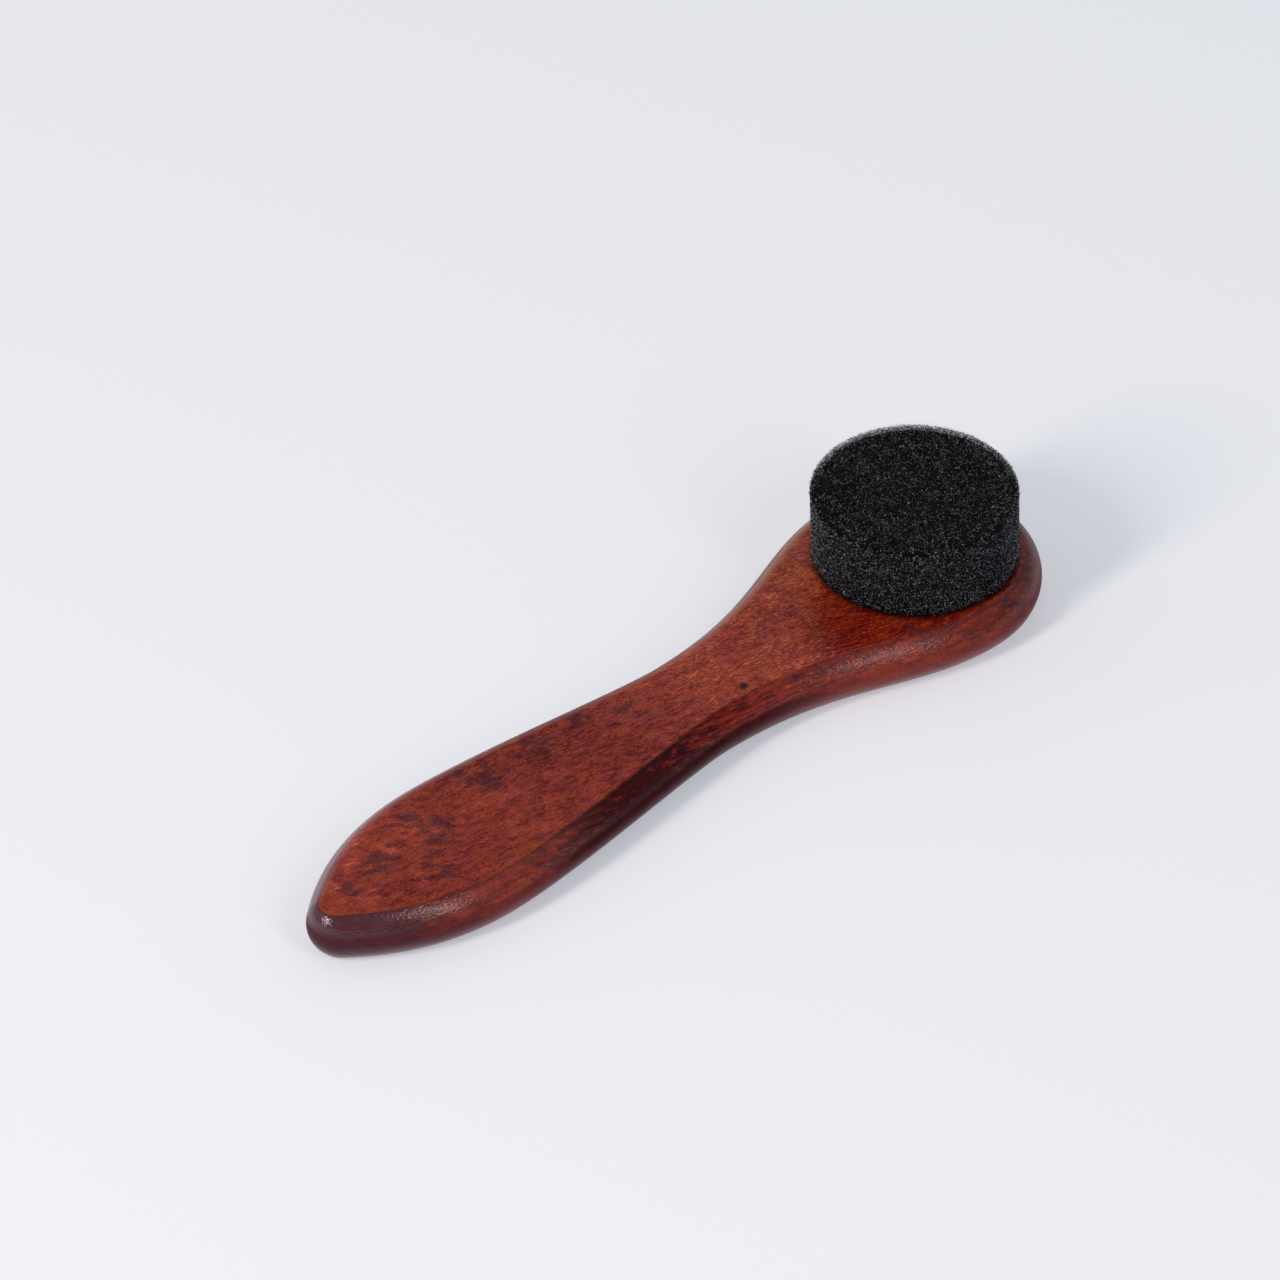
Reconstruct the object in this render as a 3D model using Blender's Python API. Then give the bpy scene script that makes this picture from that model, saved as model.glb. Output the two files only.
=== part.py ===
"""Shoe polish applicator: a flat wooden handle with a round foam pad glued to its head.

Metres, +Z up. The brush lies on the flat underside of its handle, pad up, with +X along the handle towards
the head's front edge. The origin is on the surface that it lies on, under the middle of its length.
"""
import math

import bmesh
import bpy
from mathutils import Matrix, Vector
from mathutils.geometry import interpolate_bezier

MM = 0.001

# Handle outline seen from above: round head, narrow neck, wide palm and a blunt nose
LENGTH = 160.0 * MM
HEAD_RADIUS = 22.0 * MM
NECK_WIDTH = 20.6 * MM
NECK_FROM_HEAD = 53.5 * MM       # head's centre to the narrowest place
PALM_WIDTH = 31.2 * MM
PALM_FROM_NOSE = 32.0 * MM       # nose to the widest place of the palm
NOSE_RADIUS = 6.0 * MM
NOSE_HALF_ANGLE = math.radians(50.0)

# How hard each stretch pulls along its ends' tangents, as a share of that stretch's own length
HEAD_TO_NECK_PULL = (0.34, 0.49)
NECK_TO_PALM_PULL = (0.16, 0.29)
PALM_TO_NOSE_PULL = (0.52, 0.15)

# Board and its rounded edge
THICKNESS = 10.0 * MM
EDGE_INSET = 3.0 * MM            # the rounded edge reaches this far in over each flat face

# Foam pad and the film of glue under it
SEAT_GAP = 0.3 * MM              # clearance between pieces that rest on each other
GLUE_THICKNESS = 0.4 * MM
GLUE_SETBACK = 0.6 * MM          # the film stops short of the pad's edge
FOAM_HEIGHT = 13.0 * MM
FOAM_MARGIN = 1.0 * MM           # bare flat wood between the pad and the rounded edge
FOAM_TAPER = 0.4 * MM            # the pad's top is this much smaller in radius than its base
FOAM_RIM = 1.5 * MM              # soft rounding of the pad's top rim

# Fineness of the curved stretches
HEAD_STEPS = 22
NECK_STEPS = 26
PALM_STEPS = 20
NOSE_STEPS = 9
CORNER_STEPS = 6
EDGE_STEPS = 14
PAD_SIDES = 96
RIM_STEPS = 6
SHARP_ANGLE = math.radians(20.0)

# Places worked out from the sizes above
HEAD_CENTRE_X = LENGTH / 2 - HEAD_RADIUS
NOSE_X = -LENGTH / 2
NECK_X = HEAD_CENTRE_X - NECK_FROM_HEAD
PALM_X = NOSE_X + PALM_FROM_NOSE
GLUE_Z = THICKNESS + SEAT_GAP
FOAM_Z = GLUE_Z + GLUE_THICKNESS + SEAT_GAP
FOAM_RADIUS = HEAD_RADIUS - EDGE_INSET - FOAM_MARGIN


def clear_scene():
    """Remove every object that the file starts with."""
    for obj in list(bpy.data.objects):
        bpy.data.objects.remove(obj, do_unlink=True)


def make_material(name, colour, roughness, coat=0.0):
    """A Principled material; the colour is linear RGB."""
    material = bpy.data.materials.new(name)
    material.use_nodes = True
    shader = material.node_tree.nodes["Principled BSDF"]
    shader.inputs["Base Color"].default_value = (*colour, 1.0)
    shader.inputs["Roughness"].default_value = roughness
    shader.inputs["Metallic"].default_value = 0.0
    shader.inputs["Coat Weight"].default_value = coat
    return material


def add_piece(name, bm, material, location, parent):
    """Finish a mesh as one named object: outward normals, smooth curves and sharp corners."""
    bmesh.ops.recalc_face_normals(bm, faces=bm.faces)
    mesh = bpy.data.meshes.new(name)
    bm.to_mesh(mesh)
    bm.free()
    mesh.shade_smooth()
    mesh.set_sharp_from_angle(angle=SHARP_ANGLE)
    mesh.materials.append(material)
    piece = bpy.data.objects.new(name, mesh)
    piece.location = location
    piece.parent = parent
    bpy.context.scene.collection.objects.link(piece)
    return piece


def arc(centre, radius, start, end, steps):
    """Points of a circular arc in the XY plane, both ends included."""
    turns = [start + (end - start) * i / steps for i in range(steps + 1)]
    return [centre + radius * Vector((math.cos(t), math.sin(t), 0.0)) for t in turns]


def blend_curve(start, start_tangent, end, end_tangent, pull, steps):
    """A Bezier stretch between two points that leaves and arrives along the given tangents."""
    reach = (end - start).length
    return interpolate_bezier(
        start,
        start + start_tangent * reach * pull[0],
        end - end_tangent * reach * pull[1],
        end,
        steps + 1,
    )


def half_outline():
    """The outline's +Y half, from the head's front point round to the nose, ends included."""
    backwards = Vector((-1.0, 0.0, 0.0))
    head_centre = Vector((HEAD_CENTRE_X, 0.0, 0.0))
    head_side = Vector((HEAD_CENTRE_X, HEAD_RADIUS, 0.0))
    neck_side = Vector((NECK_X, NECK_WIDTH / 2, 0.0))
    palm_side = Vector((PALM_X, PALM_WIDTH / 2, 0.0))
    nose_centre = Vector((NOSE_X + NOSE_RADIUS, 0.0, 0.0))
    nose_start = math.pi - NOSE_HALF_ANGLE
    nose_tangent = Vector((-math.sin(nose_start), math.cos(nose_start), 0.0))

    nose = arc(nose_centre, NOSE_RADIUS, nose_start, math.pi, CORNER_STEPS)
    stretches = [
        arc(head_centre, HEAD_RADIUS, 0.0, math.pi / 2, HEAD_STEPS),
        blend_curve(head_side, backwards, neck_side, backwards, HEAD_TO_NECK_PULL, NECK_STEPS),
        blend_curve(neck_side, backwards, palm_side, backwards, NECK_TO_PALM_PULL, PALM_STEPS),
        blend_curve(palm_side, backwards, nose[0], nose_tangent, PALM_TO_NOSE_PULL, NOSE_STEPS),
        nose,
    ]
    points = [stretches[0][0]]
    for stretch in stretches:
        points.extend(stretch[1:])
    return points


def handle_outline():
    """The whole closed outline, counterclockwise from above: the half and its mirror image."""
    half = half_outline()
    mirrored = [Vector((p.x, -p.y, 0.0)) for p in reversed(half[1:-1])]
    return half + mirrored


def outward_normals(outline):
    """Unit normals of a closed counterclockwise outline, from each point's two neighbours."""
    normals = []
    for i, point in enumerate(outline):
        before = (point - outline[i - 1]).normalized()
        after = (outline[(i + 1) % len(outline)] - point).normalized()
        tangent = before + after
        normals.append(Vector((tangent.y, -tangent.x, 0.0)).normalized())
    return normals


def edge_profile():
    """The rounded edge as (inset, height) pairs: one arc across the board's whole thickness."""
    half = THICKNESS / 2
    radius = (EDGE_INSET**2 + half**2) / (2 * EDGE_INSET)
    reach = math.asin(half / radius)
    turns = [reach * (2 * i / EDGE_STEPS - 1) for i in range(EDGE_STEPS + 1)]
    return [(radius * (1 - math.cos(t)), half + radius * math.sin(t)) for t in turns]


def add_handle(material, parent):
    """Flat board swept round its outline with the rounded edge, closed by its two flat faces."""
    outline = handle_outline()
    normals = outward_normals(outline)
    bm = bmesh.new()
    rings = []
    for inset, height in edge_profile():
        lift = Vector((0.0, 0.0, height))
        ring = [bm.verts.new(p - n * inset + lift) for p, n in zip(outline, normals)]
        rings.append(ring)
    for lower, upper in zip(rings, rings[1:]):
        for i in range(len(outline)):
            j = (i + 1) % len(outline)
            bm.faces.new((lower[i], lower[j], upper[j], upper[i]))
    bm.faces.new(reversed(rings[0]))
    bm.faces.new(rings[-1])
    return add_piece("handle", bm, material, (0.0, 0.0, 0.0), parent)


def turn_profile(profile, sides):
    """Spin an open (radius, height) profile, which starts and ends on the axis, about Z."""
    bm = bmesh.new()
    verts = [bm.verts.new((radius, 0.0, height)) for radius, height in profile]
    edges = [bm.edges.new(pair) for pair in zip(verts, verts[1:])]
    bmesh.ops.spin(
        bm,
        geom=verts + edges,
        axis=(0.0, 0.0, 1.0),
        cent=(0.0, 0.0, 0.0),
        steps=sides,
        angle=2 * math.pi,
        use_merge=True,
        use_duplicate=False,
    )
    bmesh.ops.remove_doubles(bm, verts=bm.verts, dist=MM / 100)
    return bm


def add_foam_pad(material, parent):
    """Round foam pad: flat base and top, sides drawn in a little upwards, and a soft top rim."""
    top_radius = FOAM_RADIUS - FOAM_TAPER
    rim_centre = Vector((top_radius - FOAM_RIM, FOAM_HEIGHT - FOAM_RIM))
    turns = [math.pi / 2 * i / RIM_STEPS for i in range(RIM_STEPS + 1)]
    rim = [rim_centre + FOAM_RIM * Vector((math.cos(t), math.sin(t))) for t in turns]
    profile = [(0.0, 0.0), (FOAM_RADIUS, 0.0)]
    profile.extend(rim)
    profile.append((0.0, FOAM_HEIGHT))
    bm = turn_profile(profile, PAD_SIDES)
    return add_piece("foam_pad", bm, material, (HEAD_CENTRE_X, 0.0, FOAM_Z), parent)


def add_glue_film(material, parent):
    """Thin disc of glue between the wood and the pad."""
    radius = FOAM_RADIUS - GLUE_SETBACK
    bm = bmesh.new()
    bmesh.ops.create_cone(
        bm,
        cap_ends=True,
        segments=PAD_SIDES,
        radius1=radius,
        radius2=radius,
        depth=GLUE_THICKNESS,
        matrix=Matrix.Translation((0.0, 0.0, GLUE_THICKNESS / 2)),
    )
    return add_piece("glue_film", bm, material, (HEAD_CENTRE_X, 0.0, GLUE_Z), parent)


def main():
    clear_scene()
    brush = bpy.data.objects.new("shoe_brush", None)
    bpy.context.scene.collection.objects.link(brush)
    wood = make_material("stained_lacquered_wood", (0.24, 0.045, 0.018), 0.35, coat=0.6)
    foam = make_material("black_open_cell_foam", (0.012, 0.012, 0.013), 0.95)
    glue = make_material("contact_glue", (0.45, 0.30, 0.10), 0.40)
    add_handle(wood, brush)
    add_glue_film(glue, brush)
    add_foam_pad(foam, brush)
    bpy.context.view_layer.update()


main()
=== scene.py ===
"""Looks of a shoe polish applicator: a stained, lacquered wooden handle and a black foam pad."""

import math
from functools import partial
from types import SimpleNamespace

import bpy
import numpy as np
from mathutils import Matrix, Vector
from mathutils import noise as smooth_noise
from mathutils.geometry import delaunay_2d_cdt
from mathutils.kdtree import KDTree


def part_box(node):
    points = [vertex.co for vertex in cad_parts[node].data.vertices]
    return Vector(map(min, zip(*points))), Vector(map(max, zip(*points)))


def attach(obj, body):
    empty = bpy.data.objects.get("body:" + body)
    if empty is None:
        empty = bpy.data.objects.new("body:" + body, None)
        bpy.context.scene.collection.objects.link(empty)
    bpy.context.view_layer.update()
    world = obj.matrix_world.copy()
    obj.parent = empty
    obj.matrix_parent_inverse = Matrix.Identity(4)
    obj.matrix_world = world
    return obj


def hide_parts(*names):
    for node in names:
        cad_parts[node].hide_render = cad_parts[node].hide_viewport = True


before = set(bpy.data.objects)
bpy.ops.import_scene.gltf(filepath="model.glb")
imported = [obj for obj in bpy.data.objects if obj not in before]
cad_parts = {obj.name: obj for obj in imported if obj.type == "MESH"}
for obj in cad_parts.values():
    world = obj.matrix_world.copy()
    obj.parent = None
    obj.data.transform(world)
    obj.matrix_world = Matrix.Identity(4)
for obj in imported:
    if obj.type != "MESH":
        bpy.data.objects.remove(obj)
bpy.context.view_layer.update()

MM = 0.001
HAIR = MM / 1000                 # places nearer than this count as one

# Sizes taken from the frame
HANDLE_LOW, HANDLE_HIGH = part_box("handle")
PAD_LOW, PAD_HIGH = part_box("foam_pad")
FILM_LOW, FILM_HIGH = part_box("glue_film")
HEAD_RADIUS = HANDLE_HIGH.y
THICKNESS = HANDLE_HIGH.z - HANDLE_LOW.z
HEAD_X = HANDLE_HIGH.x - HEAD_RADIUS
PAD_X = (PAD_LOW.x + PAD_HIGH.x) / 2
PAD_RADIUS = (PAD_HIGH.x - PAD_LOW.x) / 2
FILM_RADIUS = (FILM_HIGH.x - FILM_LOW.x) / 2

# Handle outline, as the solid has it
NECK_WIDTH = 20.6 * MM
NECK_FROM_HEAD = 53.5 * MM
PALM_WIDTH = 31.2 * MM
PALM_FROM_NOSE = 32.0 * MM
NOSE_RADIUS = 6.0 * MM
NOSE_HALF_ANGLE = math.radians(50.0)
HEAD_TO_NECK_PULL = (0.34, 0.49)
NECK_TO_PALM_PULL = (0.16, 0.29)
PALM_TO_NOSE_PULL = (0.52, 0.15)
EDGE_INSET = 3.0 * MM

# Handle's finish
NOSE_PIVOT = -54.0 * MM          # from here to the nose the flat is drawn out
NOSE_STRETCH = 0.9 * MM
NOSE_FOLLOW = 5.0 * MM           # the rings below follow it over this distance
ARRIS = 0.32 * MM                # sanded-off width of the crisp line between edge and face
ARRIS_STEPS = 3
OUTLINE_FINENESS = 56            # points on each stretch of the outline
EDGE_STEPS = 16                  # rings on each half of the rounded edge
FACE_RINGS = (                   # width and rise: just inside the arris the sanded face rises by hundredths
    (0.35 * MM, 0.016 * MM),
    (0.65 * MM, 0.014 * MM),
    (1.20 * MM, 0.010 * MM),
)
GRAIN_TURN = math.radians(8.0)   # the board was cut a little across its fibres
KNOT = (11.4 * MM, -5.9 * MM, THICKNESS)
KNOT_SIZE = (0.95 * MM, 0.55 * MM, 1.0 * MM)
KNOT_TURN = math.radians(48.0)
# Middle of the painted shade in front of the pad
PAD_SHADE_MIDDLE = (41.0 * MM, -13.0 * MM, THICKNESS)
BLOTCHES = (                     # along and across the flat, and radius, in millimetres
    (-52.5, 7.5, 3.2), (-51.0, 1.0, 3.8), (-56.5, -2.5, 2.2), (-57.5, -7.0, 2.0), (-63.5, 2.0, 3.6),
    (-71.0, 1.0, 2.2), (-36.0, 6.5, 3.6), (-39.0, 10.0, 3.0), (-14.5, 8.5, 3.0), (-7.5, 3.0, 3.0),
    (-23.5, 7.0, 3.0), (43.5, -16.5, 3.2),
)
BARE_PATCHES = (                 # where the stain took less, the same way
    (-72.9, 3.3, 1.4), (-72.0, -1.0, 1.6), (-69.0, -3.3, 1.8), (-59.4, 4.3, 2.2), (-62.2, 9.4, 1.8),
    (-67.0, 6.4, 1.5), (-54.1, 6.8, 2.0), (-61.3, -5.2, 2.0),
)

# The wood's patterns: millimetres along and across the fibres, degrees off them, and the noise's detail and
# roughness. Real fibres are some 0.02 mm wide, too fine to show, so the finest are drawn ten times as coarse.
SWAYING_PATTERNS = {
    "fine": (0.9, 0.22, 0, 2.0, 0.6),
    "fibre": (2.0, 0.50, 0, 2.0, 0.5),
    "torn": (1.8, 0.14, 0, 1.0, 0.5),
    "ridge": (2.4, 0.50, 0, 2.0, 0.6),
    "streak": (5.0, 0.60, 0, 3.0, 0.6),
    "band": (14.0, 1.2, 0, 3.0, 0.5),
    "fleck": (2.8, 1.7, 16, 3.0, 0.6),
    "hue": (4.2, 2.4, 0, 3.0, 0.6),
}
STRAIGHT_PATTERNS = {
    "speck": (0.32, 0.26, 0, 1.0, 0.5),
    "pore": (0.70, 0.30, 0, 1.0, 0.5),
    "patch": (5.0, 3.0, 0, 2.0, 0.5),
    "cloud": (24.0, 13.0, 0, 2.0, 0.5),
}

# What changes along the handle: levels at shares of its length from the nose
LEVELS_ALONG = {
    # How thin the stain lies on the flats, how much the rounded edge takes off it, and the painted shade that
    # darkens the edge low in its hollow behind the palm
    "ground": (
        (0.00, 0.56), (0.12, 0.48), (0.40, 0.44), (0.55, 0.57), (0.66, 0.60), (0.78, 0.67), (0.95, 0.50),
    ),
    "edge_dark": (
        (0.00, 0.36), (0.06, 0.26), (0.10, 0.08), (0.21, 0.03), (0.28, 0.30), (0.37, 0.51), (0.47, 0.29),
        (0.56, 0.19), (0.64, 0.27), (0.88, 0.33), (1.00, 0.36),
    ),
    "hollow_dark": ((0.24, 0.0), (0.34, 0.38), (0.46, 0.52), (0.58, 0.48), (0.68, 0.0)),
    # How strong the edge's streaks are, the lean to crimson, and how dark the painted shade line under the
    # arris is
    "streaky": ((0.05, 0.2), (0.28, 0.65), (0.42, 1.0), (0.58, 0.85), (0.72, 0.4)),
    "crimson_lean": (
        (0.00, 0.455), (0.20, 0.475), (0.35, 0.515), (0.50, 0.54), (0.66, 0.53), (0.76, 0.45), (0.90, 0.45),
        (1.00, 0.50),
    ),
    "line_dark": ((0.10, 0.35), (0.30, 0.75), (0.42, 0.70), (0.52, 0.45), (0.72, 0.35)),
    # How dull the lacquer is low on the edge, and all over it
    "low_dull": ((0.18, 0.80), (0.32, 0.94), (0.56, 0.94), (0.66, 0.75)),
    "edge_dull": ((0.24, 0.0), (0.36, 0.75), (0.54, 0.75), (0.62, 0.28)),
}

# The stain's reds, each from where the wood drank it dark to where it lies thin, and, nose to head, the plum
# of the edge's lower half: the stain's dark red tinted as a painted reflection of the pale table
ORANGE_STAIN = (
    (0.05, "#3c0507"), (0.30, "#701e12"), (0.50, "#942f15"), (0.70, "#ae401c"), (0.95, "#d87a44"),
)
CRIMSON_STAIN = (
    (0.05, "#35040e"), (0.30, "#6a191b"), (0.50, "#8d2722"), (0.70, "#a83a28"), (0.95, "#ca6b50"),
)
PLUM_STAIN_AND_REFLECTION = (
    (0.00, "#42172a"), (0.10, "#521d2b"), (0.19, "#702a30"), (0.31, "#4c1a20"), (0.50, "#3c1218"),
    (0.60, "#5c2024"), (0.68, "#7c3029"), (1.00, "#742e34"),
)

# Glue and foam pad
GLUE_DEPTH = 0.12 * MM           # half the film of glue's thickness
GLUE_SIDES = 96
PAD_BASE = THICKNESS + 2 * GLUE_DEPTH + MM / 50
PAD_SIDE = 0.05 * MM             # the cells stand out this far past the solid's side
PAD_RIM = 0.5 * MM
PAD_RIM_STEPS = 8
LEAST_RIM = 0.3 * MM             # the rim of the layers of cells gets no tighter than this
PAD_SHIFT = (-0.12 * MM, 0.10 * MM)  # glued on a hair off the middle
PAD_LEAN = (-0.20 * MM, 0.17 * MM)   # the cut pad's top leans towards the neck and the far side
FOOT_SHADE = 0.9 * MM                  # painted shade: the cells darken over this height above the glue
OFF_WOOD = 0.08 * MM             # cells outside the film of glue end this far above the wood

# Layers of open cells, outermost first: depth under the skin, width of a cell, share of the struts left,
# their tone, and the share of those frayed away where the cut side meets the top. The deeper layers' darker
# tones are painted shade. Finer cells than these wouldn't show, and the struts are drawn thicker than real
# ones for the same reason.
CELL_LAYERS = (
    (0.05 * MM, 0.22 * MM, 0.23, 0.14, 0.90),
    (0.15 * MM, 0.25 * MM, 0.40, 0.11, 0.85),
    (0.38 * MM, 0.44 * MM, 0.85, 0.06, 0.50),
)
LINKED = (0.10, 0.14)            # share of a layer's meeting places with a strut down to the next layer
CUT_ENDS = (0.36, 0.20)          # share of the outer two layers' meeting places with a loose cut end
ROW_PITCH = 0.87                 # rows of cells in a honeycomb, in widths of a cell
CELL_JITTER = 0.34               # how far a cell strays from its place, as a share of its width
DEPTH_JITTER = 0.09 * MM
STRUT = 0.036 * MM               # half width of a strut
STRUT_LAP = 0.6                  # how far struts run into each other, in half widths
CELL_STRUTS = (0.75, 1.3)        # thinnest and thickest strut round a cell, in half widths
LINK_STRUTS = (0.8, 1.3)
FRAYED = 1.0 * MM                # the rim is frayed this far in from its side and its top
CUT_LENGTHS = (0.03, 0.08)       # shortest and longest cut end in millimetres, away from the rim
CUT_STRAY = 0.55                 # how far cut ends turn from straight outwards
CUT_SWELL = 0.36                 # how much their thickness and tone vary
CUT_GLINT_TONE = 0.24                  # their tone is pale: the palest cut ends are painted glints
TONE_CLOUD = 2.4 * MM            # the foam's tone is cloudy at this size
SIDE_LIGHT_IN = 1.2 * MM               # painted light: the pad's side is paler than its top this far in
SEED = 7
CORE_DEPTH = 0.62 * MM           # the dark core lies this deep, where no light gets past the layers of cells
CORE_RIM = 0.6 * MM
CORE_SIDES = 128

# Camera, fitted to the brush's outline in the photograph, and the directions that the lights are placed by
LENS = 202.39                    # for a sensor 36 mm wide
CAMERA_DISTANCE = 1.25
ROLL = math.radians(-1.064)
AZIMUTH = math.radians(-41.888)
ELEVATION = math.radians(39.811)
CAMERA_AWAY = Vector((-math.sin(AZIMUTH), math.cos(AZIMUTH), 0.0))
CAMERA_RIGHT = Vector((math.cos(AZIMUTH), math.sin(AZIMUTH), 0.0))
CAMERA_BACK = (-CAMERA_AWAY * math.cos(ELEVATION) + Vector((0.0, 0.0, math.sin(ELEVATION)))).normalized()
LOOK_AT = Vector((14.858, 24.235, 0.0)) * MM

# Light table
TABLE_SIDE = 8.0
TABLE_DROP = MM / 50             # keeps its face off the plane of the brush's underside
TABLE_GLOW = 0.358

# Softboxes: heading from the camera's view and height in degrees, distance, width and height, watts, colour
SOFTBOXES = {
    "key_softbox": (-130, 33, 1.6, (0.24, 0.75), 12.0, "#fff7ee"),
    "second_softbox": (141, 36, 1.6, (0.28, 0.90), 3.5, "#fdfdff"),
    "side_panel": (-88, 30, 1.8, (1.2, 1.0), 1.0, "#ffffff"),
}

# Settings that many nodes share: a range with soft ends, one colour laid over another, one tinted by another
SOFT = {"interpolation_type": "SMOOTHSTEP"}
LAID_OVER = {"output": 2, "data_type": "RGBA"}
TINTED = {"output": 2, "data_type": "RGBA", "blend_type": "MULTIPLY"}


def linear(colour):
    """An sRGB hex colour as linear RGBA. A plain number is a level of grey that is linear already."""
    if not isinstance(colour, str):
        return (colour, colour, colour, 1.0)
    levels = [int(colour[i:i + 2], 16) / 255 for i in (1, 3, 5)]
    rgb = [c / 12.92 if c <= 0.04045 else ((c + 0.055) / 1.055) ** 2.4 for c in levels]
    return (*rgb, 1.0)


def add_node(tree, kind, inputs=(), output=0, stops=(), easing="LINEAR", **settings):
    """Add a node with its settings and links, and give back the output asked for.

    The inputs are hex colours, other values or other nodes' outputs, in the node's own order or by name or
    number. The stops are a colour ramp's places and colours.
    """
    made = tree.nodes.new("ShaderNode" + kind)
    for name, value in settings.items():
        setattr(made, name, value)
    if stops:
        made.color_ramp.interpolation = easing
        elements = made.color_ramp.elements
        while len(elements) < len(stops):
            elements.new(0.5)
        for element, (place, colour) in zip(elements, stops):
            element.position = place
            element.color = linear(colour)
    for socket, value in inputs.items() if isinstance(inputs, dict) else enumerate(inputs):
        if isinstance(value, bpy.types.NodeSocket):
            tree.links.new(value, made.inputs[socket])
        else:
            made.inputs[socket].default_value = linear(value) if isinstance(value, str) else value
    return made.outputs[output] if made.outputs else None


def new_material(name):
    """A node material that is still empty, and the function that adds a node to it."""
    material = bpy.data.materials.new(name)
    material.use_nodes = True
    material.node_tree.nodes.clear()
    return material, partial(add_node, material.node_tree)


def read_wood(node):
    """What stain and lacquer go by at a place: where it is, the wood's patterns and the levels there."""
    at = SimpleNamespace()
    at.surface = node("TexCoord", output="Object")
    at.along, at.across, at.height = node("SeparateXYZ", (at.surface,)).node.outputs
    at.edge = node("Attribute", output="Fac", attribute_name="from_arris")

    # Grain that wanders a little: the fibres' coordinates sway by a millimetre or two over a few centimetres
    straight = node("Mapping", {"Vector": at.surface, "Rotation": (0.0, 0.0, GRAIN_TURN)})
    sway = node("Mapping", {"Vector": straight, "Scale": (34 * MM, 14 * MM, 14 * MM)}, vector_type="TEXTURE")
    sway = node("TexNoise", {"Vector": sway, "Scale": 1.0, "Detail": 1.0}, output="Color")
    sway = node("VectorMath", (sway, (0.5, 0.5, 0.5)), operation="SUBTRACT")
    swaying = node("VectorMath", (sway, (0.0, 6 * MM, 6 * MM), straight), operation="MULTIPLY_ADD")
    for fibres, patterns in ((swaying, SWAYING_PATTERNS), (straight, STRAIGHT_PATTERNS)):
        for name, (length, width, turn, detail, roughness) in patterns.items():
            cells = node("Mapping", {
                "Vector": fibres, "Rotation": (0.0, 0.0, -math.radians(turn)),
                "Scale": (length * MM, width * MM, width * MM),
            }, vector_type="TEXTURE")
            inputs = {"Vector": cells, "Scale": 1.0, "Detail": detail, "Roughness": roughness}
            setattr(at, name, node("TexNoise", inputs))

    at.span = node("MapRange", (at.along, HANDLE_LOW.x, HANDLE_HIGH.x))
    for name, stops in LEVELS_ALONG.items():
        setattr(at, name, node("ValToRGB", (at.span,), stops=stops, easing="EASE"))

    # The rounded edge, the flats, the upper face, the far and the near side and the nose, each with a soft
    # limit. Sanding left the edge's fine fibres calm, and planing left the wood rougher towards the head.
    at.side = node("MapRange", (at.edge, -0.1, 0.5), **SOFT)
    at.flat = node("Math", (1.0, at.side), operation="SUBTRACT")
    at.upper = node("MapRange", (at.height, 5 * MM, 9 * MM), **SOFT)
    at.far = node("MapRange", (at.across, 1 * MM, 5 * MM), **SOFT)
    at.near = node("Math", (1.0, at.far), operation="SUBTRACT")
    nose = node("MapRange", (at.along, -62 * MM, -72 * MM), **SOFT)
    at.nose = node("Math", (nose, 0.8), operation="MULTIPLY")
    at.calm = node("Math", (at.side, -0.55, 1.0), operation="MULTIPLY_ADD")
    at.rough = node("MapRange", (at.span, 0.38, 0.60), **SOFT)

    # Painted shade: the flat darkens on the near side as it widens into the head, in front of the pad,
    # standing in for the pad's shade and its dark reflection in the lacquer
    wiped = node("VectorMath", (at.surface, PAD_SHADE_MIDDLE), output="Value", operation="DISTANCE")
    wiped = node("MapRange", (wiped, 21 * MM, 7 * MM), **SOFT)
    wiped = node("Math", (wiped, at.upper), operation="MULTIPLY")
    at.wiped = node("Math", (wiped, at.flat), operation="MULTIPLY")
    return at


def add_patterns(node, total, parts):
    """A total with a share of each pattern added, counted from the pattern's mean."""
    for pattern, share in parts:
        from_mean = node("Math", (pattern, 0.5), operation="SUBTRACT")
        total = node("Math", (from_mean, share, total), operation="MULTIPLY_ADD")
    return total


def in_patches(node, surface, patches, outer, inner):
    """How far inside a round patch of the upper flat a place is.

    It is 0 from outer times the patch's radius outwards, and 1 from inner times its radius inwards.
    """
    deepest = 0.0
    for x, y, radius in patches:
        middle = (x * MM, y * MM, THICKNESS)
        away = node("VectorMath", (surface, middle), output="Value", operation="DISTANCE")
        within = node("MapRange", (away, outer * radius * MM, inner * radius * MM), **SOFT)
        deepest = node("Math", (within, deepest), operation="MAXIMUM")
    return deepest


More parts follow.
